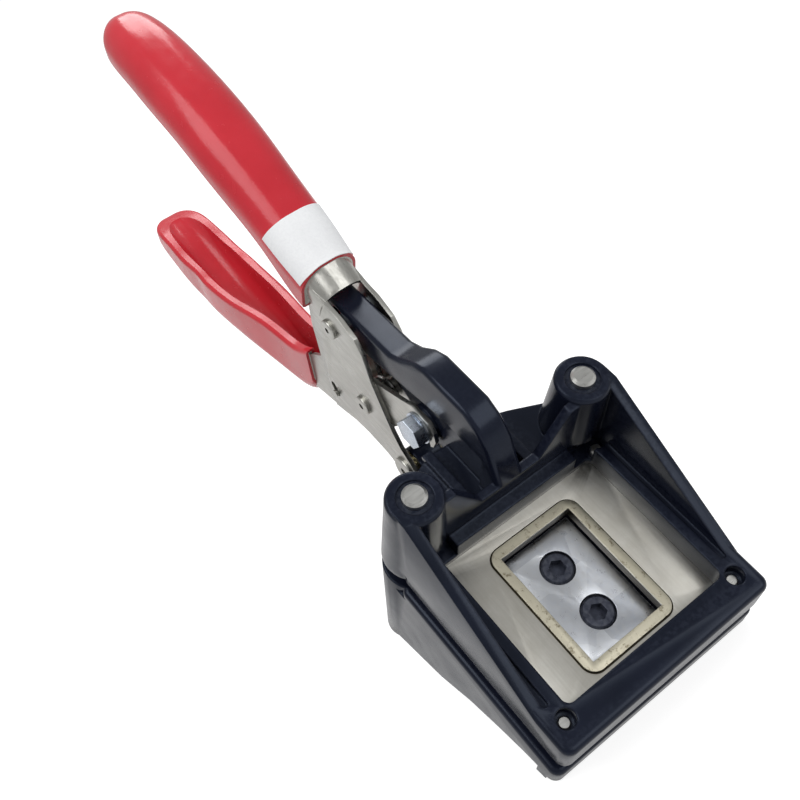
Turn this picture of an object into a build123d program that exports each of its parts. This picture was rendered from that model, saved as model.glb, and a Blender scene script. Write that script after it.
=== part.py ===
from build123d import *
from math import acos, atan2, cos, degrees, hypot, pi, radians, sin
import os

# Hand-held photo punch: two castings on guide posts, closed by a pair of pressed steel handles.
# Lengths are in millimetres. x runs forward along the die face and z out of it, so the
# side outlines are drawn in the die's own x and z, on planes tilted with the head.

os.makedirs("parts", exist_ok=True)

# Die and window
opening_length = 32.0
opening_width = 22.0
opening_shift = 1.1
window_length = 43.4
window_edge = 7.4
window_corner = 2.0
ring_width = 2.6
ring_height = 0.5
ring_corner = 3.4
ring_groove = 0.35
die_drop = 7.0
die_thickness = 3.0
die_length = 52.6
die_edge = 2.75
die_shift = 1.3
die_seat_gap = 0.15
die_screw_x = 23.4
die_screw_rear_x = 21.8
die_screw_inset = 5.35
die_screw_d = 3.2
die_screw_head_d = 5.6
die_screw_tip = 3.0
die_screw_taper = 45.0
die_screw_mouth_d = 4.8
die_screw_mouth_depth = 3.2

# Castings
casting_width = 63.5
lower_step = 0.9
casting_front = 30.0
casting_rear = 27.5
casting_wall = 3.0
upper_bottom = 10.2
head_gap = 5.8
lower_plate = 6.3
lower_rear_depth = 56.85
foot_land = 0.6
foot_length = 3.0
corner_radius = 2.6
edge_radius = 1.4
gusset_foot = 17.5
boss_d = 13.8
boss_top = 20.5
boss_edge = 0.8
boss_taper = 35.0
boss_foot_d = 16.4
boss_foot_back = 1.3
boss_foot_in = 0.5
post_x = 29.9
post_inset = 6.45
post_d = 6.0
post_top = 21.9
post_foot_gap = 3.0
post_chamfer = 0.7
bush_d = 8.6
bush_clearance = 0.03
bush_recess = 0.6
rear_wall = 2.4
rear_wall_top = 6.0
rear_wall_flat = 9.0
rear_gusset_inset = 8.0
rear_gusset_z = 19.0
pocket_inset = 12.75
pocket_length = 3.2
pocket_depth = 5.0
shelf_groove = 1.6
shelf_groove_depth = 0.9
shelf_groove_front = 19.0
flange_thickness = 5.0
flange_clear = 8.0
flange_slope = 2.5
flange_side_slope = 7.3
flange_mid_share = 0.59
rail_outer = 11.0
rail_inner = 8.2
rail_rise = 1.3
rail_sink = 1.6

# Punch
punch_seat_depth = 3.0
punch_drop = 11.4
punch_clearance = 0.05
punch_screw_pitch = 14.2
punch_screw_d = 5.0
punch_screw_length = 10.5
cap_head_d = 8.4
cap_head_height = 5.0
cap_bore_d = 8.9
cap_bore_depth = 5.2
cap_socket = 4.0
cap_socket_depth = 2.4
cap_chamfer = 0.5

# Arm of the upper casting
arm_width = 7.9
arm_edge = 1.3
arm_web_recess = 1.0
tongue_radius = 5.2

# Pressed steel handles and their pins; outlines and pin places are shares of the reach
reach = 100.0
arm_end_shares = (0.960, 0.112, -0.018)
guide_pin_shares = (0.904, 0.036)
pivot_shares = (0.770, -0.177)
front_pin_shares = (0.582, -0.285)
drive_shares = (0.535, -0.008)
spring_pin_shares = (0.913, -0.285)
sheet = 1.3
channel_width = 13.3
lever_width = 10.5
stroke = 4.5
pin_gap = 0.05
side_gap = 0.3
guide_pin_d = 4.0
pivot_d = 4.5
front_pin_d = 5.0
drive_bolt_d = 5.0
drive_head_flats = 8.0
drive_head_height = 3.2
drive_nut_height = 4.0
drive_bolt_end = 1.2
drive_washer_d = 9.2
drive_washer = 0.7
drive_slot_gap = 0.3
drive_end_radius = 6.3
drive_mouth = 5.8
drive_mouth_slant = 20.0
rivet_head = 1.1
rivet_bore_share = 0.42
rivet_head_d = 6.0
washer_d = 8.4
spring_pin_d = 2.2
spring_pin_proud = 0.9
spring_wire = 1.4
spring_arcs = 6
gap_samples = 400
spring_turns = 3
spring_leg_angle = 205.0
spring_pitch = 2.0
spring_leg_gap = 0.15
spring_free_leg = 9.0
spool_d = 6.4

# Grips and label
grip_skin = 0.9
grip_wall = 3.0
lip_round = 1.2
sleeve_front_share = 0.912
sleeve_top_share = 0.152
sleeve_slant = 20.0
sleeve_length = 8.6
sleeve_depth = 12.5
sleeve_width = 15.2
sleeve_flare = 1.4
sleeve_round = 6.2
label_thick = 0.25
label_shares = ((-0.996, 0.142), (-1.152, 0.195), (-1.050, 0.475), (-0.909, 0.423))

# Placement: the rear corner and the front corner of the lower casting stand on the ground
window_forward = 96.52
overrun = 1.0

half_width = casting_width / 2
lower_half_width = half_width + lower_step
post_y = half_width - post_inset
boss_foot_x = post_x + boss_foot_back
boss_foot_y = post_y - boss_foot_in
die_screw_y = half_width - die_screw_inset
die_width = casting_width - 2 * die_edge
window_width = casting_width - 2 * window_edge
rear_gusset_y = post_y - rear_gusset_inset
pocket_y = half_width - pocket_inset
guide_pin_x, guide_pin_z = (share * reach for share in guide_pin_shares)
pivot_x, pivot_z = (share * reach for share in pivot_shares)
front_pin_x, front_pin_z = (share * reach for share in front_pin_shares)
drive_x, drive_z = (share * reach for share in drive_shares)
spring_pin_x, spring_pin_z = (share * reach for share in spring_pin_shares)
arm_end_x, arm_end_top, arm_end_foot = (share * reach for share in arm_end_shares)
flange_tip = drive_x - flange_clear
flange_mid_x = flange_tip - flange_slope
flange_mid_y = post_y * flange_mid_share
flange_side_x = flange_tip - flange_side_slope
flange_side_y = post_y
lower_top = -(upper_bottom + head_gap)
front_bottom = lower_top - lower_plate
rear_foot_x = -(boss_foot_x + boss_foot_d / 2 - corner_radius)
rest_tilt = atan2(lower_rear_depth + front_bottom, casting_front - rear_foot_x)
window_height = casting_front * sin(rest_tilt) - front_bottom * cos(rest_tilt) + foot_land

head = Plane(
    origin=(window_forward, 0, window_height),
    x_dir=(cos(rest_tilt), 0, -sin(rest_tilt)),
    z_dir=(sin(rest_tilt), 0, cos(rest_tilt)),
)
flank = Plane(origin=head.origin, x_dir=head.x_dir, z_dir=(0, -1, 0))
ground = Plane.XY
up = Axis(head.origin, head.z_dir)
ahead = Axis(head.origin, head.x_dir)
across = Axis.Y


def level(height, x=0, y=0):
    """Plane parallel to the die face, at a height above the window's lip."""
    return Plane(origin=head.from_local_coords((x, y, height)), x_dir=head.x_dir, z_dir=head.z_dir)


def flank_at(y):
    """Vertical plane along the tool, a distance y to its left or right."""
    return flank.offset(-y)


def wall_at(x):
    """Plane square to the tool's length, with y across it and the die's z up it."""
    return Plane(origin=head.from_local_coords((x, 0, 0)), x_dir=(0, 1, 0), z_dir=head.x_dir)


def tilted(x, z, slope):
    """Plane square to a handle's centre line at one station."""
    turn = radians(slope)
    back = head.x_dir * -cos(turn) + head.z_dir * sin(turn)
    return Plane(origin=head.from_local_coords((x, 0, z)), x_dir=(0, -1, 0), z_dir=back)


def sized(shares, size):
    """Outline points from hand-chosen shares of one size."""
    return [(x * size, z * size) for x, z in shares]


def outline(points):
    """Closed face through a list of points on the current sketch plane."""
    Polygon(*points, align=None)


# Lower casting: plate, deep side gussets, post bosses, rear wall and the lug for the front pin
lug_radius = front_pin_d
gusset_run = casting_front - rear_foot_x
gusset_drop = lower_rear_depth + front_bottom
gusset_shares = [(0.15, 0.05), (0.27, 0.17), (0.43, 0.355), (0.64, 0.68)]
toe_x = casting_front - corner_radius
with BuildPart() as lower_casting:
    with BuildSketch(level(lower_top)):
        with Locations(((casting_front - casting_rear) / 2, 0)):
            RectangleRounded(casting_front + casting_rear, 2 * lower_half_width, corner_radius)
    extrude(amount=-lower_plate)
    fillet(lower_casting.edges().group_by(up)[-1], radius=min(edge_radius, lower_plate / 3))
    with BuildSketch(flank_at(-lower_half_width)):
        outline([
            (-post_x, lower_top - lower_plate / 2),
            (toe_x, lower_top - lower_plate / 2),
            (toe_x, -lower_rear_depth),
            (toe_x - foot_length, -lower_rear_depth),
            (toe_x - foot_length, front_bottom),
            *[(casting_front - x * gusset_run, front_bottom - z * gusset_drop) for x, z in gusset_shares],
            (-post_x, -lower_rear_depth - lower_plate),
        ])
    extrude(amount=-casting_wall)
    mirror(about=Plane.XZ)
    with BuildSketch(level(lower_top)):
        with Locations((-boss_foot_x, boss_foot_y), (-boss_foot_x, -boss_foot_y)):
            Circle(boss_foot_d / 2)
    extrude(amount=-(lower_rear_depth + lower_top + lower_plate))
    with BuildSketch(flank):
        outline([
            (-casting_rear, lower_top),
            (-casting_rear, -lower_rear_depth),
            (-casting_rear - casting_wall, -lower_rear_depth),
            (-casting_rear - casting_wall, lower_top),
        ])
    extrude(amount=post_y, both=True)
    with BuildSketch(flank):
        outline([
            (-casting_rear, lower_top - lower_plate / 2),
            (-front_pin_x + lug_radius / 2, front_pin_z + lug_radius * sin(pi / 3)),
            (-front_pin_x, front_pin_z - lug_radius),
            (-casting_rear, front_pin_z - 2 * lug_radius),
        ])
        with Locations((-front_pin_x, front_pin_z)):
            Circle(lug_radius)
    extrude(amount=arm_width / 2, both=True)
    with BuildSketch(ground):
        with Locations((window_forward, 0)):
            Rectangle(4 * lower_rear_depth, 2 * casting_width)
    extrude(amount=-2 * lower_rear_depth, mode=Mode.SUBTRACT)
    with BuildSketch(level(lower_top)):
        with Locations((opening_shift, 0)):
            Rectangle(opening_length + 2 * pin_gap, opening_width + 2 * pin_gap)
    extrude(amount=-punch_seat_depth, mode=Mode.SUBTRACT)
    with BuildSketch(level(lower_top)):
        with Locations((opening_shift, 0)):
            with GridLocations(punch_screw_pitch, 0, 2, 1):
                Circle(punch_screw_d / 2)
    extrude(amount=-lower_plate, mode=Mode.SUBTRACT)
    with BuildSketch(level(lower_top)):
        with Locations((-post_x, post_y), (-post_x, -post_y)):
            Circle(post_d / 2)
    extrude(amount=-lower_rear_depth, mode=Mode.SUBTRACT)
    with BuildSketch(flank):
        with Locations((-front_pin_x, front_pin_z)):
            Circle(front_pin_d / 2)
    extrude(amount=arm_width, both=True, mode=Mode.SUBTRACT)
lower_casting.part.label = "lower_casting"

# Upper casting: window frame, sloping side gussets, bosses, rear wall, rear flange and the arm
arm_top_shares = [
    (-0.300, 0.163),
    (-0.344, 0.206),
    (-0.390, 0.227),
    (-0.542, 0.225),
    (-0.586, 0.204),
    (-0.635, 0.160),
    (-0.683, 0.134),
]
arm_under_shares = [
    (-0.870, -0.018),
    (-0.820, 0.012),
    (-0.770, 0.024),
    (-0.660, 0.046),
    (-0.528, 0.081),
    (-0.457, 0.096),
    (-0.316, 0.096),
]
web_shares = [(-0.285, 0.080), (-0.457, 0.092), (-0.528, 0.077), (-0.660, 0.042)]
arm_front = -casting_rear + rear_wall
arm_outline = [
    (arm_front, -die_drop),
    (arm_front, rear_wall_top),
    *sized(arm_top_shares, reach),
    (-arm_end_x, arm_end_top),
    (-arm_end_x, arm_end_foot),
    *sized(arm_under_shares, reach),
    (arm_under_shares[-1][0] * reach, -die_drop),
]
with BuildPart() as upper_casting:
    with BuildSketch(level(0)):
        with Locations(((casting_front - casting_rear) / 2, 0)):
            RectangleRounded(casting_front + casting_rear, casting_width, corner_radius)
    extrude(amount=-upper_bottom)
    with BuildSketch(flank_at(-half_width)):
        outline([
            (-post_x, boss_top),
            (-post_x + boss_d / 3, boss_top),
            (gusset_foot, 0),
            (gusset_foot, -die_drop),
            (-post_x, -die_drop),
        ])
    extrude(amount=-casting_wall)
    mirror(about=Plane.XZ)
    front_rim = upper_casting.faces().filter_by(up).group_by(up)[-2].edges()
    front_rim = front_rim.filter_by(lambda e: head.to_local_coords(e.center()).X > gusset_foot)
    fillet(front_rim, radius=edge_radius)
    with BuildSketch(level(-upper_bottom)):
        with Locations((-boss_foot_x, boss_foot_y)):
            Circle(boss_foot_d / 2)
    with BuildSketch(level(boss_top - boss_edge)):
        with Locations((-post_x, post_y)):
            Circle(boss_d / 2)
    loft()
    mirror(about=Plane.XZ)
    with BuildSketch(level(boss_top - boss_edge)):
        with Locations((-post_x, post_y), (-post_x, -post_y)):
            Circle(boss_d / 2)
    extrude(amount=boss_edge, taper=boss_taper)
    with BuildSketch(wall_at(-casting_rear)):
        outline([
            (rear_wall_flat, rear_wall_top),
            (rear_gusset_y, rear_gusset_z),
            (post_y, rear_gusset_z),
            (post_y, -die_drop),
            (-post_y, -die_drop),
            (-post_y, rear_gusset_z),
            (-rear_gusset_y, rear_gusset_z),
            (-rear_wall_flat, rear_wall_top),
        ])
    extrude(amount=rear_wall)
    with BuildSketch(level(0)):
        outline([
            (-casting_rear + overrun, flange_side_y),
            (-flange_side_x, flange_side_y),
            (-flange_mid_x, flange_mid_y),
            (-flange_tip, rail_inner),
            (-flange_tip, -rail_inner),
            (-flange_mid_x, -flange_mid_y),
            (-flange_side_x, -flange_side_y),
            (-casting_rear + overrun, -flange_side_y),
        ])
    extrude(amount=-flange_thickness)
    with BuildSketch(level(0)):
        with Locations((-(casting_rear + flange_tip) / 2, (rail_outer + rail_inner) / 2)):
            Rectangle(flange_tip - casting_rear, rail_outer - rail_inner)
    extrude(amount=rail_rise)
    mirror(about=Plane.XZ)
    with BuildSketch(level(0)):
        with Locations((-(casting_rear + flange_tip + overrun) / 2, 0)):
            Rectangle(flange_tip - casting_rear + overrun, 2 * rail_inner)
    extrude(amount=-rail_sink, mode=Mode.SUBTRACT)
    with BuildSketch(flank):
        outline(arm_outline)
    extrude(amount=arm_width / 2, both=True)
    arm_edges = upper_casting.edges().filter_by(lambda e: abs(abs(e.center().Y) - arm_width / 2) < pin_gap)
    arm_rim_edges = arm_edges.filter_by(lambda e: head.to_local_coords(e.center()).Z > rear_wall_top)
    fillet(arm_rim_edges.filter_by(lambda e: head.to_local_coords(e.center()).X < -casting_rear), radius=arm_edge)
    with BuildSketch(flank):
        outline([
            *sized(web_shares, reach),
            (-drive_x - tongue_radius, drive_z),
            (-drive_x, drive_z - tongue_radius),
            (-flange_tip + overrun, -flange_thickness),
            (web_shares[0][0] * reach, -flange_thickness),
        ])
    extrude(amount=arm_width / 2 - arm_web_recess, both=True)
    with BuildSketch(flank):
        with Locations((-drive_x, drive_z)):
            Circle(tongue_radius)
    extrude(amount=arm_width / 2, both=True)
    with BuildSketch(level(overrun)):
        RectangleRounded(window_length, window_width, window_corner)
    extrude(amount=-(upper_bottom + 2 * overrun), mode=Mode.SUBTRACT)
    with BuildSketch(level(-upper_bottom - overrun)):
        with Locations((die_shift, 0)):
            Rectangle(die_length + 2 * die_seat_gap, die_width + 2 * die_seat_gap)
    extrude(amount=upper_bottom + overrun - die_drop, mode=Mode.SUBTRACT)
    pocket_out = half_width - casting_wall
    with BuildSketch(level(overrun)):
        with Locations((-window_length / 2 - pocket_length / 2, (pocket_y + pocket_out) / 2)):
            Rectangle(pocket_length + 2 * overrun, pocket_out - pocket_y)
        with Locations((-window_length / 2 - pocket_length / 2, -(pocket_y + pocket_out) / 2)):
            Rectangle(pocket_length + 2 * overrun, pocket_out - pocket_y)
    extrude(amount=-(pocket_depth + overrun), mode=Mode.SUBTRACT)
    groove_length = shelf_groove_front + window_length / 2
    groove_y = pocket_out - shelf_groove / 2
    with BuildSketch(level(0)):
        with Locations(
            (shelf_groove_front - groove_length / 2, groove_y),
            (shelf_groove_front - groove_length / 2, -groove_y),
        ):
            SlotOverall(groove_length, shelf_groove)
    extrude(amount=-shelf_groove_depth, mode=Mode.SUBTRACT)
    with BuildSketch(level(boss_top + overrun)):
        with Locations((-post_x, post_y), (-post_x, -post_y)):
            Circle(bush_d / 2)
    extrude(amount=-(boss_top + upper_bottom + 2 * overrun), mode=Mode.SUBTRACT)
    with BuildSketch(level(0)):
        with Locations((die_screw_x, die_screw_y), (die_screw_x, -die_screw_y)):
            Circle(die_screw_mouth_d / 2)
    extrude(amount=-die_screw_mouth_depth, mode=Mode.SUBTRACT)
    with BuildSketch(level(overrun)):
        with Locations(
            (die_screw_x, die_screw_y),
            (die_screw_x, -die_screw_y),
            (-die_screw_rear_x, die_screw_y),
            (-die_screw_rear_x, -die_screw_y),
        ):
            Circle(die_screw_d / 2)
    extrude(amount=-(upper_bottom + overrun), mode=Mode.SUBTRACT)
    with BuildSketch(flank):
        with Locations((-drive_x, drive_z)):
            Circle(drive_bolt_d / 2)
    extrude(amount=arm_width, both=True, mode=Mode.SUBTRACT)
    guide_slot = guide_pin_d + 2 * side_gap
    with BuildSketch(flank):
        with Locations((-guide_pin_x, guide_pin_z + stroke / 2)):
            SlotOverall(stroke + guide_slot, guide_slot, rotation=90)
    extrude(amount=arm_width, both=True, mode=Mode.SUBTRACT)
upper_casting.part.label = "upper_casting"

# Die plate with the raised ring round its opening, held from below by four screws
die_screw_drop = (die_screw_head_d - die_screw_d) / 2
die_screw_spots = [
    (die_screw_x, die_screw_y),
    (die_screw_x, -die_screw_y),
    (-die_screw_rear_x, die_screw_y),
    (-die_screw_rear_x, -die_screw_y),
]
with BuildPart() as die_plate:
    with BuildSketch(level(-die_drop)):
        with Locations((die_shift, 0)):
            Rectangle(die_length, die_width)
    extrude(amount=-die_thickness)
    with BuildSketch(level(-die_drop)):
        with Locations((opening_shift, 0)):
            RectangleRounded(opening_length + 2 * ring_width, opening_width + 2 * ring_width, ring_corner)
    extrude(amount=ring_height)
    with BuildSketch(level(-die_drop)):
        with Locations((opening_shift, 0)):
            RectangleRounded(
                opening_length + 2 * (ring_width + ring_groove),
                opening_width + 2 * (ring_width + ring_groove),
                ring_corner + ring_groove,
            )
            RectangleRounded(
                opening_length + 2 * ring_width,
                opening_width + 2 * ring_width,
                ring_corner,
                mode=Mode.SUBTRACT,
            )
    extrude(amount=-ring_groove, mode=Mode.SUBTRACT)
    with BuildSketch(level(-die_drop + ring_height + overrun)):
        with Locations((opening_shift, 0)):
            Rectangle(opening_length, opening_width)
    extrude(amount=-(die_thickness + ring_height + 2 * overrun), mode=Mode.SUBTRACT)
    with BuildSketch(level(-die_drop - die_thickness)):
        with Locations(*die_screw_spots):
            Circle(die_screw_head_d / 2)
    extrude(amount=die_screw_drop, taper=die_screw_taper, mode=Mode.SUBTRACT)
    with BuildSketch(level(-die_drop - die_thickness)):
        with Locations(*die_screw_spots):
            Circle(die_screw_d / 2)
    extrude(amount=die_thickness, mode=Mode.SUBTRACT)
die_plate.part.label = "die_plate"

with BuildPart() as die_plate_screws:
    with BuildSketch(level(-die_drop - die_thickness)):
        with Locations(*die_screw_spots):
            Circle(die_screw_head_d / 2)
    extrude(amount=die_screw_drop, taper=die_screw_taper)
    with BuildSketch(level(-die_drop - die_thickness)):
        with Locations(*die_screw_spots):
            Circle(die_screw_d / 2)
    extrude(amount=die_drop + die_thickness - die_screw_tip)
    tips = die_plate_screws.faces().filter_by(up).group_by(up)[-1].edges()
    chamfer(tips, length=die_screw_d / 8)
    with BuildSketch(level(-die_drop - die_thickness)):
        with Locations(*die_screw_spots):
            RegularPolygon(die_screw_d / 3, 6)
    extrude(amount=die_screw_drop, mode=Mode.SUBTRACT)
die_plate_screws.part.label = "die_plate_screws"

# Punch block, seated in the lower casting, and its two cap screws
with BuildPart() as punch_block:
    with BuildSketch(level(lower_top - punch_seat_depth)):
        with Locations((opening_shift, 0)):
            Rectangle(opening_length - 2 * punch_clearance, opening_width - 2 * punch_clearance)
    extrude(amount=punch_seat_depth - lower_top - punch_drop)
    with Locations(level(-punch_drop, opening_shift)):
        with GridLocations(punch_screw_pitch, 0, 2, 1):
            CounterBoreHole(punch_screw_d / 2, cap_bore_d / 2, cap_bore_depth)
punch_block.part.label = "punch_block"

with BuildPart() as punch_screws:
    with BuildSketch(level(-punch_drop - cap_bore_depth)):
        with Locations((opening_shift, 0)):
            with GridLocations(punch_screw_pitch, 0, 2, 1):
                Circle(cap_head_d / 2)
    extrude(amount=cap_head_height)
    chamfer(punch_screws.faces().filter_by(up).group_by(up)[-1].edges(), length=cap_chamfer)
    with BuildSketch(level(-punch_drop - cap_bore_depth + cap_head_height)):
        with Locations((opening_shift, 0)):
            with GridLocations(punch_screw_pitch, 0, 2, 1):
                RegularPolygon(cap_socket / 2, 6, major_radius=False)
    extrude(amount=-cap_socket_depth, mode=Mode.SUBTRACT)
    shank = min(punch_screw_length, lower_plate + punch_drop - lower_top - cap_bore_depth)
    with BuildSketch(level(-punch_drop - cap_bore_depth)):
        with Locations((opening_shift, 0)):
            with GridLocations(punch_screw_pitch, 0, 2, 1):
                Circle(punch_screw_d / 2)
    extrude(amount=-shank + cap_bore_depth)
punch_screws.part.label = "punch_screws"


def guide_post(y, name):
    """Ground steel post pressed into the lower casting's boss."""
    foot = -lower_rear_depth + boss_d / 2 + post_foot_gap
    with BuildPart() as post:
        with BuildSketch(level(foot)):
            with Locations((-post_x, y)):
                Circle(post_d / 2)
        extrude(amount=post_top - foot)
        chamfer(post.faces().filter_by(up).edges(), length=post_chamfer)
    post.part.label = name
    return post.part


def guide_bush(y, name):
    """Bush pressed into the upper casting's boss, running on its post."""
    with BuildPart() as bush:
        with BuildSketch(level(-upper_bottom)):
            with Locations((-post_x, y)):
                Circle(bush_d / 2)
                Circle(post_d / 2 + bush_clearance, mode=Mode.SUBTRACT)
        extrude(amount=upper_bottom + boss_top - bush_recess)
    bush.part.label = name
    return bush.part


guide_posts = [guide_post(post_y, "guide_post_right"), guide_post(-post_y, "guide_post_left")]
guide_bushes = [guide_bush(post_y, "guide_bush_right"), guide_bush(-post_y, "guide_bush_left")]

# Long handle's steel channel: two cheeks joined by the rounded sleeve, with its tail in the grip
cheek_shares = [
    (-0.910, 0.126),
    (-0.854, 0.122),
    (-0.792, 0.102),
    (-0.760, 0.067),
    (-0.727, -0.020),
    (-0.672, -0.113),
    (-0.641, -0.162),
    (-0.605, -0.204),
    (-0.565, -0.228),
    (-0.532, -0.260),
    (-0.530, -0.295),
    (-0.550, -0.326),
    (-0.586, -0.338),
    (-0.610, -0.328),
    (-0.648, -0.313),
    (-0.678, -0.309),
    (-0.754, -0.312),
    (-0.820, -0.324),
    (-0.926, -0.368),
    (-0.960, -0.253),
    (-0.980, -0.163),
    (-1.003, -0.040),
    (-1.006, 0.060),
    (-1.050, 0.100),
    (-1.050, 0.130),
    (-0.985, 0.140),
]
# Stations of a grip: x and z of its centre line as shares of the reach, width as a share of its
# channel's width, depth as a share of the reach, and slant
long_grip_shares = [
    (-0.991, 0.118, 1.331, 0.145, 6),
    (-1.070, 0.153, 1.398, 0.134, 18),
    (-1.170, 0.198, 1.436, 0.120, 20),
    (-1.285, 0.234, 1.489, 0.120, 18),
    (-1.400, 0.269, 1.564, 0.120, 15),
    (-1.550, 0.304, 1.579, 0.120, 10),
    (-1.700, 0.321, 1.571, 0.120, 5),
    (-1.820, 0.328, 1.519, 0.117, 2),
    (-1.930, 0.323, 1.414, 0.110, -1),
    (-1.985, 0.317, 1.218, 0.096, -4),
    (-2.015, 0.311, 0.917, 0.074, -6),
    (-2.030, 0.308, 0.571, 0.048, -6),
]
short_grip_shares = [
    (-1.070, -0.359, 1.219, 0.183, -6),
    (-1.130, -0.420, 1.238, 0.192, -20),
    (-1.200, -0.450, 1.257, 0.202, -25),
    (-1.310, -0.478, 1.410, 0.208, -26),
    (-1.460, -0.522, 1.714, 0.190, -24),
    (-1.570, -0.555, 1.829, 0.183, -20),
    (-1.680, -0.582, 1.857, 0.186, -15),
    (-1.800, -0.602, 1.829, 0.180, -8),
    (-1.920, -0.611, 1.810, 0.164, 0),
    (-2.040, -0.615, 1.714, 0.128, 4),
    (-2.095, -0.617, 1.448, 0.092, 4),
    (-2.124, -0.616, 1.048, 0.064, 4),
    (-2.138, -0.615, 0.648, 0.040, 4),
]
# Depth of the trough at the same stations, as shares of the reach
long_trough_shares = (0.115, 0.104, 0.090, 0.090, 0.090, 0.086, 0.074, 0.052, 0.024, -0.008)
short_trough_shares = (0.153, 0.162, 0.172, 0.174, 0.152, 0.134, 0.112, 0.078, 0.044, 0.016, -0.008)
tail_stations = 6
back_round_share = 0.84


def rounded_form(stations, back, lip=0):
    """Body with a rounded back through (x, z, width, low, high, slant); back is 1 up or -1 down."""
    with BuildPart() as form:
        for x, z, width, low, high, slant in stations:
            with BuildSketch(tilted(x, z, slant)) as section:
                with Locations((0, back * (high + low) / 2)):
                    Rectangle(width, high - low)
                rounding = min(width / 2, high - low - lip) * back_round_share
                fillet(section.vertices().group_by(Axis.Y)[-1 if back > 0 else 0], radius=rounding)
                if lip:
                    fillet(section.vertices().group_by(Axis.Y)[0 if back > 0 else -1], radius=lip)
        loft()
    return form.part


def grip_stations(shares, steel_width, inset):
    """A grip's outer sections, pulled in from the skin by an inset on all sides."""
    stations = []
    for x, z, width, depth, slant in shares:
        half = depth * reach / 2 - inset
        stations.append((x * reach, z * reach, width * steel_width - 2 * inset, -half, half, slant))
    return stations


def trough_stations(shares, depths, steel_width, cover):
    """Sections of the open trough, wider and deeper by a cover, and open past the lips."""
    stations = []
    for (x, z, width, depth, slant), trough in zip(shares, depths):
        mouth = -depth * reach / 2
        inside = width * steel_width - 2 * grip_wall + 2 * cover
        stations.append((x * reach, z * reach, inside, mouth - channel_width, mouth + trough * reach + cover, slant))
    return stations


def steel_tail(shares, depths, steel_width, back):
    """Pressed channel inside a dipped grip, open on the side that faces the other handle."""
    outer = rounded_form(grip_stations(shares[:tail_stations], steel_width, grip_skin), back)
    inner = rounded_form(trough_stations(shares[:tail_stations], depths, steel_width, grip_skin), back)
    return outer - inner


def dipped_grip(shares, depths, steel_width, back, steel):
    """Plastic coat over a steel tail, with the channel's trough fading out toward the tip."""
    body = rounded_form(grip_stations(shares, steel_width, 0), back, lip_round)
    trough = rounded_form(trough_stations(shares, depths, steel_width, 0), back)
    return (body - trough - steel).solids().sort_by(SortBy.VOLUME)[-1]


long_tail = steel_tail(long_grip_shares, long_trough_shares, channel_width, 1)
short_tail = steel_tail(short_grip_shares, short_trough_shares, lever_width, -1)
drive_ahead = pivot_x - drive_x
drive_rise = drive_z - pivot_z
lever_turn = atan2(drive_rise, drive_ahead) - atan2(drive_rise - stroke, drive_ahead)
drive_slot_run = hypot(drive_ahead, drive_rise) - hypot(drive_ahead, drive_rise - stroke) + side_gap
pin_x = pivot_x - spring_pin_x
pin_z = spring_pin_z - pivot_z
pin_travel_x = pin_x * cos(lever_turn) + pin_z * sin(lever_turn) - pin_x
pin_travel_z = pin_z * cos(lever_turn) - pin_x * sin(lever_turn) - pin_z
sleeve_plane = tilted(-sleeve_front_share * reach, sleeve_top_share * reach, sleeve_slant)


def sleeve_form(inset):
    """Flaring arch that leans out from the cheeks, pulled in by an inset on the outside."""
    with BuildPart() as form:
        for place, width in ((0, sleeve_width), (sleeve_length, sleeve_width + sleeve_flare)):
            with BuildSketch(sleeve_plane.offset(place)) as section:
                outline([
                    (-channel_width / 2 + inset, -sleeve_depth),
                    (-width / 2 + inset, -inset),
                    (width / 2 - inset, -inset),
                    (channel_width / 2 - inset, -sleeve_depth),
                ])
                fillet(section.vertices().group_by(Axis.Y)[-1], radius=sleeve_round - inset)
        loft()
    return form.part


with BuildPart() as handle_channel:
    with BuildSketch(flank_at(-channel_width / 2)):
        outline(sized(cheek_shares, reach))
    extrude(amount=-sheet)
    mirror(about=Plane.XZ)
    add(sleeve_form(0))
    add(sleeve_form(sheet), mode=Mode.SUBTRACT)
    add(long_tail)
    with BuildSketch(flank_at(-channel_width)):
        with Locations((-guide_pin_x, guide_pin_z)):
            Circle(guide_pin_d / 2)
        with Locations((-pivot_x, pivot_z)):
            Circle(pivot_d / 2)
        with Locations((-front_pin_x, front_pin_z)):
            Circle(front_pin_d / 2)
        slot_turn = degrees(atan2(pin_travel_z, pin_travel_x))
        with Locations((-spring_pin_x + pin_travel_x / 2, spring_pin_z + pin_travel_z / 2)):
            SlotCenterToCenter(
                hypot(pin_travel_x, pin_travel_z),
                spring_pin_d + 2 * side_gap,
                rotation=slot_turn,
            )
    extrude(amount=-2 * channel_width, mode=Mode.SUBTRACT)
handle_channel.part.label = "handle_channel"

# Short lever's steel channel: hooked front end and cheeks inside the long handle's cheeks
lever_front_shares = [(-0.713, -0.026), (-0.615, 0.022), (-0.570, 0.046)]
lever_back_shares = [
    (-0.585, -0.084),
    (-0.625, -0.116),
    (-0.680, -0.205),
    (-0.720, -0.246),
    (-0.780, -0.276),
    (-0.860, -0.326),
    (-0.946, -0.402),
    (-1.058, -0.4405),
    (-1.072, -0.438),
    (-1.088, -0.380),
    (-1.088, -0.300),
    (-1.060, -0.266),
    (-0.980, -0.190),
    (-0.900, -0.105),
    (-0.800, -0.062),
]
lever_web_shares = [
    (-0.800, -0.284),
    (-0.860, -0.326),
    (-0.946, -0.402),
    (-1.058, -0.4405),
    (-1.070, -0.453),
    (-1.074, -0.446),
    (-1.062, -0.430),
    (-0.954, -0.389),
    (-0.867, -0.313),
    (-0.807, -0.271),
]
lever_sheet = sheet - 2 * pin_gap
hook_angles = (60, 30, 0, -30, -60, -90)
hook_end = [
    (-drive_x + drive_end_radius * cos(radians(a)), drive_z + drive_end_radius * sin(radians(a)))
    for a in hook_angles
]
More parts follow.
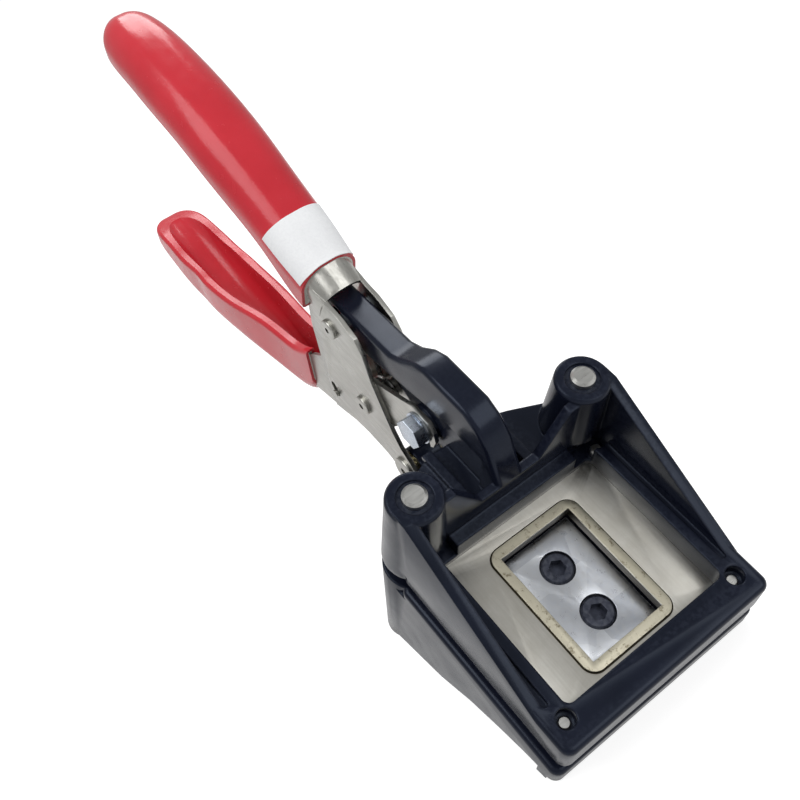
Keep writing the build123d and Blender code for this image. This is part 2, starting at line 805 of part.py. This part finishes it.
run_turn = degrees(atan2(drive_rise, drive_ahead))
slot_width = drive_bolt_d + 2 * drive_slot_gap
with BuildPart() as lever_channel:
    with BuildSketch(flank_at(-lever_width / 2)):
        outline(sized(lever_front_shares, reach) + hook_end + sized(lever_back_shares, reach))
    extrude(amount=-lever_sheet)
    mirror(about=Plane.XZ)
    with BuildSketch(flank):
        outline(sized(lever_web_shares, reach))
    extrude(amount=lever_width / 2, both=True)
    add(short_tail)
    with BuildSketch(flank_at(-lever_width)):
        with Locations((-pivot_x, pivot_z)):
            Circle(pivot_d / 2 + pin_gap)
        with Locations((-spring_pin_x, spring_pin_z)):
            Circle(spring_pin_d / 2)
        run_x = drive_slot_run / 2 * cos(radians(run_turn))
        run_z = drive_slot_run / 2 * sin(radians(run_turn))
        with Locations((-drive_x - run_x, drive_z - run_z)):
            SlotCenterToCenter(drive_slot_run, slot_width, rotation=run_turn)
        mouth_x = drive_mouth * sin(radians(drive_mouth_slant))
        mouth_z = drive_mouth * cos(radians(drive_mouth_slant))
        with Locations((-drive_x + mouth_x, drive_z - mouth_z)):
            Rectangle(slot_width, 2 * drive_mouth, rotation=drive_mouth_slant)
    extrude(amount=-2 * lever_width, mode=Mode.SUBTRACT)
lever_channel.part.label = "lever_channel"

# Dipped grips and the paper size band, left blank
long_grip = dipped_grip(long_grip_shares, long_trough_shares, channel_width, 1, handle_channel.part)
long_grip.label = "long_grip"
lever_grip = dipped_grip(short_grip_shares, short_trough_shares, lever_width, -1, lever_channel.part)
lever_grip.label = "lever_grip"
with BuildPart() as label_reach:
    with BuildSketch(flank):
        outline(sized(label_shares, reach))
    extrude(amount=casting_width, both=True)
band_body = rounded_form(grip_stations(long_grip_shares, channel_width, -label_thick), 1)
band_core = rounded_form(grip_stations(long_grip_shares, channel_width, 0), 1, lip_round)
size_label = (band_body & label_reach.part) - band_core
size_label.label = "size_label"


def headed_pin(x, z, shank_d, span, head_d, head_height, name):
    """Rivet or clevis pin across the channel, its rounded heads hollowed in the middle."""
    with BuildPart() as pin:
        with BuildSketch(flank):
            with Locations((-x, z)):
                Circle(shank_d / 2)
        extrude(amount=span / 2, both=True)
        with BuildSketch(flank_at(-span / 2)):
            with Locations((-x, z)):
                Circle(head_d / 2)
        extrude(amount=head_height)
        outer = pin.faces().filter_by(across).sort_by(across)[0]
        fillet(outer.edges(), radius=head_height / 2)
        with BuildSketch(flank_at(-span / 2 - head_height)):
            with Locations((-x, z)):
                Circle(shank_d * rivet_bore_share / 2)
        extrude(amount=-head_height, mode=Mode.SUBTRACT)
        mirror(about=Plane.XZ)
    pin.part.label = name
    return pin.part


def washer_pair(x, z, bore_d, outer_d, inner_y, outer_y, name):
    """Two flat washers, one each side of the tool's middle plane."""
    with BuildPart() as washers:
        with BuildSketch(flank_at(-outer_y)):
            with Locations((-x, z)):
                Circle(outer_d / 2)
                Circle(bore_d / 2, mode=Mode.SUBTRACT)
        extrude(amount=-(outer_y - inner_y))
        mirror(about=Plane.XZ)
    washers.part.label = name
    return washers.part


cheek_in = channel_width / 2 - sheet
pins = [
    headed_pin(guide_pin_x, guide_pin_z, guide_pin_d, channel_width, rivet_head_d, rivet_head, "arm_guide_rivet"),
    headed_pin(pivot_x, pivot_z, pivot_d, channel_width, rivet_head_d, rivet_head, "lever_pivot_rivet"),
    headed_pin(front_pin_x, front_pin_z, front_pin_d, channel_width, washer_d, rivet_head, "front_pin"),
    washer_pair(
        guide_pin_x, guide_pin_z, guide_pin_d, washer_d, arm_width / 2 + side_gap, cheek_in, "arm_guide_washers"
    ),
    washer_pair(front_pin_x, front_pin_z, front_pin_d, washer_d, arm_width / 2, cheek_in, "front_pin_washers"),
    washer_pair(
        drive_x, drive_z, drive_bolt_d, drive_washer_d,
        lever_width / 2 + 2 * pin_gap, lever_width / 2 + 2 * pin_gap + drive_washer, "drive_washers",
    ),
]

# Drive bolt through the arm's tongue and the lever's hooked ends, with its nut
washer_face = lever_width / 2 + 2 * pin_gap + drive_washer
with BuildPart() as drive_bolt:
    with BuildSketch(flank_at(-washer_face)):
        with Locations((-drive_x, drive_z)):
            Circle(drive_bolt_d / 2)
    extrude(amount=-(2 * washer_face + drive_nut_height + drive_bolt_end))
    with BuildSketch(flank_at(-washer_face)):
        with Locations((-drive_x, drive_z)):
            RegularPolygon(drive_head_flats / 2, 6, major_radius=False)
    extrude(amount=drive_head_height)
drive_bolt.part.label = "drive_bolt"

with BuildPart() as drive_nut:
    with BuildSketch(flank_at(washer_face)):
        with Locations((-drive_x, drive_z)):
            RegularPolygon(drive_head_flats / 2, 6, major_radius=False)
            Circle(drive_bolt_d / 2, mode=Mode.SUBTRACT)
    extrude(amount=-drive_nut_height)
drive_nut.part.label = "drive_nut"

# Pin on the short lever that takes the return spring's leg and runs in the cheeks' slots
with BuildPart() as spring_pin:
    with BuildSketch(flank):
        with Locations((-spring_pin_x, spring_pin_z)):
            Circle(spring_pin_d / 2)
    extrude(amount=channel_width / 2 + spring_pin_proud, both=True)
spring_pin.part.label = "spring_pin"

with BuildPart() as spring_spool:
    with BuildSketch(flank):
        with Locations((-pivot_x, pivot_z)):
            Circle(spool_d / 2)
            Circle(pivot_d / 2, mode=Mode.SUBTRACT)
    extrude(amount=arm_width / 2, both=True)
spring_spool.part.label = "spring_spool"

# Torsion return spring: one leg under the lever's pin side, coils on the spool, one leg under the arm
pin_reach = hypot(pin_x, pin_z)
spring_radius = (spool_d + spring_wire) / 2 + side_gap
leg_offset = spring_pin_d / 2 + spring_wire / 2 + spring_leg_gap
start_turn = atan2(pin_z, pin_x) % (2 * pi) - acos((spring_radius - leg_offset) / pin_reach)
end_turn = radians(spring_leg_angle) - 2 * pi * spring_turns
coil_length = spring_pitch * (start_turn - end_turn) / (2 * pi)


def coil_point(turn):
    """Point on the spring's centre line at a turn about the lever pivot."""
    y = coil_length * ((turn - start_turn) / (end_turn - start_turn) - 1 / 2)
    return head.from_local_coords((
        -pivot_x + spring_radius * cos(turn),
        y,
        pivot_z + spring_radius * sin(turn),
    ))


def coil_lead(turn, length):
    """Point on the tangent that leaves the coil at a turn."""
    x = -pivot_x + spring_radius * cos(turn) + length * sin(turn)
    z = pivot_z + spring_radius * sin(turn) - length * cos(turn)
    base = head.to_local_coords(coil_point(turn))
    return head.from_local_coords((x, base.Y, z))


lead_length = pin_reach + spring_pin_d
step = (end_turn - start_turn) / spring_arcs
with BuildPart() as return_spring:
    with BuildLine() as spring_path:
        Line(coil_lead(start_turn, -lead_length), coil_point(start_turn))
        for i in range(spring_arcs):
            first = start_turn + i * step
            ThreePointArc(coil_point(first), coil_point(first + step / 2), coil_point(first + step))
        Line(coil_point(end_turn), coil_lead(end_turn, spring_free_leg))
    spring_end = spring_path.line @ 0
    with BuildSketch(Plane(origin=spring_end, z_dir=spring_path.line % 0)):
        Circle(spring_wire / 2)
    sweep(path=spring_path.line)
return_spring.part.label = "return_spring"
wire_line = spring_path.wires()[0]
wire_points = [wire_line @ (i / gap_samples) for i in range(gap_samples + 1)]
half_turn_steps = round(gap_samples * pi * spring_radius / wire_line.length)
wire_spans = [
    (wire_points[i] - later).length
    for i in range(gap_samples - half_turn_steps)
    for later in wire_points[i + half_turn_steps:]
]
print(f"least gap between the spring's turns: {min(wire_spans) - spring_wire:.2f} mm")

built = [
    lower_casting.part,
    upper_casting.part,
    die_plate.part,
    die_plate_screws.part,
    punch_block.part,
    punch_screws.part,
    *guide_posts,
    *guide_bushes,
    handle_channel.part,
    lever_channel.part,
    long_grip,
    lever_grip,
    size_label,
    *pins,
    drive_bolt.part,
    drive_nut.part,
    spring_pin.part,
    spring_spool.part,
    return_spring.part,
]
for piece in built:
    export_step(piece, f"parts/{piece.label}.step")
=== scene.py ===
from math import cos, radians, sin

import bpy
from mathutils import Matrix, Vector

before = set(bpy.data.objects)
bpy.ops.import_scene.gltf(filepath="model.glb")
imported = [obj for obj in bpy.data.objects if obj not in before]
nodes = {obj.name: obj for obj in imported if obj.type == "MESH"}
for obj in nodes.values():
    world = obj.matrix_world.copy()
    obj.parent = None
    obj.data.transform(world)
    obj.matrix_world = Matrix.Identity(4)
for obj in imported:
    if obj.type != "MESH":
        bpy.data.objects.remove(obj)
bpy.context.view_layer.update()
scene = bpy.context.scene

# The die face leans forward by this angle. Its normal and its forward direction, in the part's frame
TILT = radians(27.3487)
DIE_NORMAL = (sin(TILT), 0.0, cos(TILT))
DIE_AHEAD = (cos(TILT), 0.0, -sin(TILT))
ACROSS = (0, 1, 0)

# Window's middle, how far the plate's face lies below it, and the band in which the ring's foot is told:
# the ring above the face, painted shade on everything below it
WINDOW = Vector((0.09652, 0.0, 0.03419))
PLATE_DROP = 0.0070
RING_STEP = 0.0001

# Gloss of the navy enamel
NAVY_GLOSS = (0.66, 0.78, 1.0, 1.0)

# Noise factors that a remap spreads over its whole range, and pointiness of a plain outside edge
NOISE_LOW = 0.3
NOISE_HIGH = 0.7
EDGE_POINTY = (0.52, 0.60)

# Castings' edges as rounded in the shading
CAST_EDGE_RADIUS = 0.0008
CAST_EDGE_SAMPLES = 6

# Bevels, in metres, of the nodes whose edges are pressed, cast or ground
BEVEL_ANGLE = radians(28.0)
BEVEL_SEGMENTS = 3
WELD_GAP = 1e-5
FLAT_ANGLE = radians(1.0)
EDGE_WIDTHS = {
    "upper_casting": 0.0005,
    "lower_casting": 0.0005,
    "handle_channel": 0.00022,
    "lever_channel": 0.00022,
    "drive_bolt": 0.0002,
    "drive_nut": 0.0002,
    "die_plate": 0.00015,
    "punch_block": 0.00012,
}

# Floor: half its width, its two tones, its roughness, and the glow that takes it to white
FLOOR_HALF = 6.0
FLOOR_TONES = ((0.49, 0.49, 0.49, 1), (0.52, 0.52, 0.52, 1))
FLOOR_CLOUDS = 3.0
FLOOR_ROUGHNESS = 0.9
FLOOR_GLOW = {"Is Camera Ray": 0.78, "Is Glossy Ray": 0.42}

# World: light that it gives, and its level where the camera sees it
WHITE = (1, 1, 1, 1)
WORLD_LIGHT = 0.50
WORLD_SEEN = 1.0

# Lamps: place, point that they face, size and power
LAMPS = {
    "key": ((0.10, -0.45, 0.85), (0.03, 0.0, 0.05), 0.6, 4.0),
    "fill": ((0.75, 0.35, 0.60), (0.03, 0.0, 0.05), 0.6, 2.4),
    "rim": ((-0.55, 0.30, 0.70), (0.0, 0.0, 0.08), 0.4, 2.4),
}

# Camera as solved from the photo
CAMERA_LENS = 44.4315
CAMERA_SENSOR = 36.0
CAMERA_NEAR = 0.01
CAMERA_PLACE = (0.23934936, -0.08502522, 0.20225857)
CAMERA_RIGHT = Vector((0.5325348, 0.79053759, -0.3024186))
CAMERA_UP = Vector((-0.33566126, 0.52524728, 0.78195065))
CAMERA_BACK = Vector((0.77700593, -0.31490572, 0.5450653))


class Shader:
    """A material's node tree, with short calls for the nodes used here."""

    def __init__(self, name):
        self.material = bpy.data.materials.new(name)
        self.material.use_nodes = True
        self.tree = self.material.node_tree
        self.bsdf = self.tree.nodes["Principled BSDF"]
        self.coords = self.tree.nodes.new("ShaderNodeTexCoord").outputs["Object"]

    def set(self, **values):
        for key, value in values.items():
            self.bsdf.inputs[key.replace("_", " ")].default_value = value
        return self

    def link(self, output, socket):
        self.tree.links.new(output, self.bsdf.inputs[socket])

    def node(self, kind, inputs=(), **attributes):
        made = self.tree.nodes.new(kind)
        for key, value in attributes.items():
            setattr(made, key, value)
        for key, value in dict(inputs).items():
            if isinstance(value, bpy.types.NodeSocket):
                self.tree.links.new(value, made.inputs[key])
            else:
                made.inputs[key].default_value = value
        return made

    def stretched(self, along, ratio):
        """Coordinates squeezed along one direction, so that noise on them forms streaks that way."""
        x = Vector(along).normalized()
        y = Vector((0, 1, 0)) if abs(x.y) < 0.9 else Vector((1, 0, 0))
        z = x.cross(y).normalized()
        y = z.cross(x)
        parts = []
        for axis, scale in ((x, ratio), (y, 1.0), (z, 1.0)):
            inputs = {0: self.coords, 1: axis * scale}
            dot = self.node("ShaderNodeVectorMath", inputs, operation="DOT_PRODUCT")
            parts.append(dot.outputs["Value"])
        joined = self.node("ShaderNodeCombineXYZ", {0: parts[0], 1: parts[1], 2: parts[2]})
        return joined.outputs[0]

    def noise(self, scale, detail=3.0, rough=0.5, coords=None):
        made = self.node(
            "ShaderNodeTexNoise",
            {"Vector": coords or self.coords, "Scale": scale, "Detail": detail, "Roughness": rough},
        )
        return made.outputs["Fac"]

    def ramp(self, factor, stops):
        """Colour ramp through (position, colour) stops."""
        made = self.node("ShaderNodeValToRGB", {"Fac": factor})
        ramp = made.color_ramp
        while len(ramp.elements) < len(stops):
            ramp.elements.new(0.5)
        for element, (place, colour) in zip(ramp.elements, stops):
            element.position = place
            element.color = (*colour, 1.0)
        return made.outputs["Color"]

    def remap(self, factor, low, high, start=NOISE_LOW, end=NOISE_HIGH):
        """Factor spread from start..end to low..high."""
        made = self.node(
            "ShaderNodeMapRange",
            {"Value": factor, "From Min": start, "From Max": end, "To Min": low, "To Max": high},
        )
        return made.outputs["Result"]

    def mix(self, factor, first, second):
        """Two colours, given or linked, mixed by a factor."""
        made = self.node("ShaderNodeMix", {"Factor": factor}, data_type="RGBA")
        for slot, value in ((6, first), (7, second)):
            if isinstance(value, bpy.types.NodeSocket):
                self.tree.links.new(value, made.inputs[slot])
            else:
                made.inputs[slot].default_value = (*value, 1.0)
        return made.outputs[2]

    def math(self, operation, first, second):
        made = self.node("ShaderNodeMath", operation=operation)
        for i, value in enumerate((first, second)):
            if isinstance(value, bpy.types.NodeSocket):
                self.tree.links.new(value, made.inputs[i])
            else:
                made.inputs[i].default_value = value
        return made.outputs[0]

    def bump(self, *layers, edge_radius=0.0):
        """Chain of bumps from (height, strength, distance in metres), over edges rounded in the shading."""
        normal = None
        if edge_radius:
            bevel = self.node("ShaderNodeBevel", {"Radius": edge_radius}, samples=CAST_EDGE_SAMPLES)
            normal = bevel.outputs["Normal"]
        for height, strength, distance in layers:
            inputs = {"Height": height, "Strength": strength, "Distance": distance}
            if normal is not None:
                inputs["Normal"] = normal
            normal = self.node("ShaderNodeBump", inputs).outputs["Normal"]
        self.link(normal, "Normal")

    def worn(self, amount=0.5):
        """Factor that is high on outside edges."""
        pointy = self.node("ShaderNodeNewGeometry").outputs["Pointiness"]
        edge = self.remap(pointy, 0.0, 1.0, *EDGE_POINTY)
        patchy = self.remap(self.noise(900.0, 4.0), 0.0, 1.0, 0.40, 0.60)
        return self.math("MULTIPLY", self.math("MULTIPLY", edge, patchy), amount)


def enamel():
    """Glossy navy-black enamel on a casting, with slow waves and a faint wear on its edges."""
    s = Shader("navy_enamel")
    s.set(Coat_Weight=0.05, Coat_Roughness=0.12, Specular_IOR_Level=0.22, Specular_Tint=NAVY_GLOSS)
    tone = s.ramp(s.noise(50.0, 4.0), [(0.35, (0.0042, 0.0054, 0.0115)), (0.65, (0.0066, 0.0083, 0.0170))])
    dust = s.remap(s.noise(2600.0, 2.0), 0.0, 0.25, 0.66, 0.80)
    tone = s.mix(dust, tone, (0.024, 0.028, 0.042))
    s.link(s.mix(s.worn(0.10), tone, (0.070, 0.080, 0.115)), "Base Color")
    s.link(s.remap(s.noise(150.0, 3.0), 0.18, 0.27), "Roughness")
    grain = (s.noise(300.0, 2.0), 0.05, 0.0002)
    waves = (s.noise(45.0, 2.0), 0.16, 0.0012)
    s.bump(grain, waves, edge_radius=CAST_EDGE_RADIUS)
    return s.material


def plated(name, dark, light, grain, ratio, rough):
    """Metal with fine streaks along the grain and faint clouding."""
    s = Shader(name)
    s.set(Metallic=1.0)
    streaks = s.noise(1500.0, 4.0, 0.6, s.stretched(grain, ratio))
    clouds = s.noise(110.0, 4.0, 0.6)
    tone = s.ramp(streaks, [(0.3, dark), (0.7, light)])
    tone = s.mix(s.remap(clouds, 0.0, 0.45), tone, tuple(0.72 * c for c in dark))
    s.link(tone, "Base Color")
    s.link(s.remap(s.noise(1300.0, 3.0, 0.5, s.stretched(grain, ratio)), *rough), "Roughness")
    s.bump((streaks, 0.18, 0.00005), (clouds, 0.15, 0.0004))
    return s.material


def die_steel():
    """Ground plate, cloudy and a little stained, with a brassy, pitted ring round the opening, and painted
    shade in dark brown on everything that lies below the plate's face, such as the opening's walls.
    """
    s = Shader("ground_die_steel")
    s.set(Metallic=1.0)
    streaks = s.noise(1700.0, 5.0, 0.6, s.stretched(DIE_AHEAD, 0.05))
    clouds = s.noise(75.0, 5.0, 0.6)
    plate = s.ramp(streaks, [(0.3, (0.50, 0.49, 0.45)), (0.7, (0.57, 0.56, 0.52))])
    plate = s.mix(s.remap(clouds, 0.0, 0.65), plate, (0.40, 0.38, 0.33))
    plate = s.mix(s.remap(s.noise(260.0, 5.0, 0.7), 0.0, 0.35, 0.56, 0.74), plate, (0.62, 0.61, 0.58))
    pits = s.remap(s.noise(650.0, 5.0, 0.75), 0.0, 0.85, 0.54, 0.66)
    ring = s.mix(pits, (0.50, 0.47, 0.37), (0.16, 0.13, 0.08))
    above = s.node("ShaderNodeVectorMath", {0: s.coords, 1: DIE_NORMAL}, operation="DOT_PRODUCT")
    height = above.outputs["Value"]
    face = WINDOW.dot(Vector(DIE_NORMAL)) - PLATE_DROP
    raised = s.remap(height, 0.0, 1.0, face + RING_STEP, face + 2 * RING_STEP)
    # Mask of everything that lies below the plate's face, where painted shade in dark brown goes
    painted_shade_below_face = s.remap(height, 1.0, 0.0, face - RING_STEP / 4, face - RING_STEP / 2)
    tone = s.mix(raised, plate, ring)
    # Painted shade: dark brown on everything below the plate's face, the opening's walls and the ring's
    # foot
    s.link(s.mix(s.math("SUBTRACT", 1.0, painted_shade_below_face), tone, (0.050, 0.042, 0.030)), "Base Color")
    s.link(s.remap(streaks, 0.30, 0.44), "Roughness")
    s.bump((streaks, 0.12, 0.00004), (s.noise(500.0, 4.0), 0.10, 0.0002))
    return s.material


def polished():
    """Lapped punch face: pale and bluish, with broad soft facets left by the lap."""
    s = Shader("lapped_punch_steel")
    s.set(Metallic=1.0)
    cells = s.node("ShaderNodeTexVoronoi", {"Vector": s.coords, "Scale": 78.0}, distance="MANHATTAN")
    facets = s.node("ShaderNodeSeparateColor", {"Color": cells.outputs["Color"]}).outputs[0]
    tone = s.ramp(facets, [(0.2, (0.42, 0.445, 0.49)), (0.8, (0.58, 0.605, 0.645))])
    s.link(s.mix(s.remap(s.noise(900.0, 4.0), 0.0, 0.25), tone, (0.56, 0.55, 0.52)), "Base Color")
    s.link(s.remap(s.noise(500.0, 4.0, 0.6), 0.26, 0.38), "Roughness")
    s.bump((s.noise(1600.0, 3.0), 0.06, 0.00004))
    return s.material


def oxide():
    """Black oxide on cap screws, oily and slate blue, paler at the edges."""
    s = Shader("black_oxide")
    s.set(Metallic=0.7)
    tone = s.ramp(s.noise(700.0, 3.0), [(0.3, (0.030, 0.034, 0.050)), (0.7, (0.055, 0.062, 0.088))])
    s.link(s.mix(s.worn(0.7), tone, (0.18, 0.19, 0.22)), "Base Color")
    s.link(s.remap(s.noise(900.0, 3.0), 0.26, 0.42), "Roughness")
    s.bump((s.noise(2200.0, 3.0), 0.12, 0.00005))
    return s.material


def bush_steel():
    """Guide bush in the enamel's colour, turned finely round its bore and rubbed at the rim."""
    s = Shader("painted_bush")
    s.set(Coat_Weight=0.05, Coat_Roughness=0.12, Specular_IOR_Level=0.24, Specular_Tint=NAVY_GLOSS)
    tone = s.ramp(s.noise(420.0, 4.0), [(0.35, (0.0060, 0.0078, 0.0155)), (0.65, (0.0100, 0.0125, 0.0240))])
    s.link(s.mix(s.worn(0.15), tone, (0.10, 0.105, 0.12)), "Base Color")
    s.link(s.remap(s.noise(500.0, 3.0), 0.22, 0.34), "Roughness")
    s.bump((s.noise(900.0, 3.0), 0.10, 0.0001))
    return s.material


def vinyl():
    """Glossy dipped red vinyl with slow waves and tiny specks under the skin."""
    s = Shader("dipped_red_vinyl")
    s.set(Coat_Weight=0.14, Coat_Roughness=0.09, Specular_IOR_Level=0.34, Subsurface_Weight=0.06)
    s.set(Subsurface_Scale=0.002, Specular_Tint=(1.0, 0.86, 0.88, 1.0))
    tone = s.ramp(s.noise(45.0, 3.0), [(0.3, (0.49, 0.017, 0.028)), (0.7, (0.58, 0.026, 0.040))])
    specks = s.remap(s.noise(1800.0, 2.0), 0.0, 0.4, 0.68, 0.80)
    s.link(s.mix(specks, tone, (0.34, 0.012, 0.024)), "Base Color")
    s.link(s.remap(s.noise(300.0, 3.0), 0.18, 0.28), "Roughness")
    s.bump((s.noise(120.0, 2.0), 0.16, 0.0010), (s.noise(1100.0, 2.0), 0.06, 0.0001))
    return s.material


def paper():
    """Uncoated white paper with a fibre mottle and faint grey clouds."""
    s = Shader("white_paper")
    fibres = s.noise(1400.0, 6.0, 0.7)
    tone = s.ramp(fibres, [(0.25, (0.80, 0.81, 0.825)), (0.6, (0.88, 0.89, 0.90))])
    s.link(s.mix(s.remap(s.noise(120.0, 3.0), 0.0, 0.3), tone, (0.76, 0.77, 0.79)), "Base Color")
    s.link(s.remap(fibres, 0.62, 0.82), "Roughness")
    s.bump((fibres, 0.25, 0.00006), (s.noise(150.0, 2.0), 0.3, 0.0004))
    return s.material


MATERIALS = {
    "casting": enamel(),
    "plate": plated(
        "nickel_plate", (0.40, 0.395, 0.365), (0.50, 0.495, 0.465), DIE_AHEAD, 0.12, (0.26, 0.40)
    ),
    "ground": plated("ground_steel", (0.44, 0.44, 0.42), (0.62, 0.62, 0.60), ACROSS, 0.10, (0.26, 0.42)),
    "die": die_steel(),
    "punch": polished(),
    "oxide": oxide(),
    "bush": bush_steel(),
    "zinc": plated("bright_zinc", (0.44, 0.49, 0.56), (0.62, 0.67, 0.74), ACROSS, 0.2, (0.22, 0.36)),
    "yellow": plated("yellow_zinc", (0.52, 0.44, 0.22), (0.74, 0.66, 0.38), ACROSS, 0.2, (0.20, 0.34)),
    "wire": plated("spring_wire", (0.24, 0.24, 0.24), (0.40, 0.40, 0.40), ACROSS, 0.2, (0.24, 0.40)),
    "vinyl": vinyl(),
    "paper": paper(),
}
USES = {
    "casting": ["lower_casting", "upper_casting"],
    "plate": [
        "handle_channel",
        "lever_channel",
        "arm_guide_rivet",
        "lever_pivot_rivet",
        "front_pin",
        "spring_pin",
    ],
    "ground": ["guide_post_right", "guide_post_left", "spring_spool", "die_plate_screws"],
    "bush": ["guide_bush_right", "guide_bush_left"],
    "die": ["die_plate"],
    "punch": ["punch_block"],
    "oxide": ["punch_screws"],
    "zinc": ["arm_guide_washers", "drive_washers", "drive_bolt", "drive_nut"],
    "yellow": ["front_pin_washers"],
    "wire": ["return_spring"],
    "vinyl": ["long_grip", "lever_grip"],
    "paper": ["size_label"],
}
for key, names in USES.items():
    for name in names:
        nodes[name].data.materials.clear()
        nodes[name].data.materials.append(MATERIALS[key])


def soften(name, width):
    """Rounds a CAD node's edges as casting, pressing or grinding leaves them."""
    obj = nodes[name]
    weld = obj.modifiers.new("weld", "WELD")
    weld.merge_threshold = WELD_GAP
    flat = obj.modifiers.new("flat", "DECIMATE")
    flat.decimate_type = "DISSOLVE"
    flat.angle_limit = FLAT_ANGLE
    bevel = obj.modifiers.new("edges", "BEVEL")
    bevel.width = width
    bevel.segments = BEVEL_SEGMENTS
    bevel.limit_method = "ANGLE"
    bevel.angle_limit = BEVEL_ANGLE
    bevel.harden_normals = True
    for face in obj.data.polygons:
        face.use_smooth = True


for name, width in EDGE_WIDTHS.items():
    soften(name, width)


# Floor, light and camera
def floor_material():
    """Pale matt floor that the camera and reflections see as white, and that still takes a shadow."""
    made = bpy.data.materials.new("pale_floor")
    made.use_nodes = True
    tree = made.node_tree
    bsdf = tree.nodes["Principled BSDF"]
    noise = tree.nodes.new("ShaderNodeTexNoise")
    noise.inputs["Scale"].default_value = FLOOR_CLOUDS
    ramp = tree.nodes.new("ShaderNodeValToRGB")
    for element, tone in zip(ramp.color_ramp.elements, FLOOR_TONES):
        element.color = tone
    tree.links.new(noise.outputs["Fac"], ramp.inputs["Fac"])
    tree.links.new(ramp.outputs["Color"], bsdf.inputs["Base Color"])
    bsdf.inputs["Roughness"].default_value = FLOOR_ROUGHNESS
    bsdf.inputs["Specular IOR Level"].default_value = 0.0
    bsdf.inputs["Emission Color"].default_value = WHITE
    path = tree.nodes.new("ShaderNodeLightPath")
    glow = tree.nodes.new("ShaderNodeMath")
    glow.operation = "MAXIMUM"
    for i, (ray, strength) in enumerate(FLOOR_GLOW.items()):
        scaled = tree.nodes.new("ShaderNodeMath")
        scaled.operation = "MULTIPLY"
        scaled.inputs[1].default_value = strength
        tree.links.new(path.outputs[ray], scaled.inputs[0])
        tree.links.new(scaled.outputs[0], glow.inputs[i])
    tree.links.new(glow.outputs[0], bsdf.inputs["Emission Strength"])
    return made


floor_mesh = bpy.data.meshes.new("floor")
corner_signs = ((-1, -1), (1, -1), (1, 1), (-1, 1))
corners = [(x * FLOOR_HALF, y * FLOOR_HALF, 0) for x, y in corner_signs]
floor_mesh.from_pydata(corners, [], [range(len(corners))])
floor = bpy.data.objects.new("floor", floor_mesh)
scene.collection.objects.link(floor)
floor_mesh.materials.append(floor_material())

world = bpy.data.worlds.new("studio")
scene.world = world
world.use_nodes = True
tree = world.node_tree
background = tree.nodes["Background"]
background.inputs["Color"].default_value = WHITE
path = tree.nodes.new("ShaderNodeLightPath")
seen = tree.nodes.new("ShaderNodeMath")
seen.operation = "MAXIMUM"
tree.links.new(path.outputs["Is Camera Ray"], seen.inputs[0])
tree.links.new(path.outputs["Is Transmission Ray"], seen.inputs[1])
level = tree.nodes.new("ShaderNodeMapRange")
level.inputs["To Min"].default_value = WORLD_LIGHT
level.inputs["To Max"].default_value = WORLD_SEEN
tree.links.new(seen.outputs[0], level.inputs["Value"])
tree.links.new(level.outputs["Result"], background.inputs["Strength"])


def lamp(name, place, aim, size, power):
    """Square soft lamp that faces a point on the object."""
    data = bpy.data.lights.new(name, "AREA")
    data.size = size
    data.energy = power
    obj = bpy.data.objects.new(name, data)
    obj.location = place
    obj.rotation_euler = (Vector(aim) - Vector(place)).to_track_quat("-Z", "Y").to_euler()
    scene.collection.objects.link(obj)


for name, (place, aim, size, power) in LAMPS.items():
    lamp(name, place, aim, size, power)

camera_data = bpy.data.cameras.new("camera")
camera_data.sensor_width = CAMERA_SENSOR
camera_data.lens = CAMERA_LENS
camera_data.clip_start = CAMERA_NEAR
camera = bpy.data.objects.new("camera", camera_data)
scene.collection.objects.link(camera)
turn = Matrix((CAMERA_RIGHT, CAMERA_UP, CAMERA_BACK)).transposed().to_4x4()
camera.matrix_world = Matrix.Translation(CAMERA_PLACE) @ turn
scene.camera = camera

scene.view_settings.view_transform = "Standard"
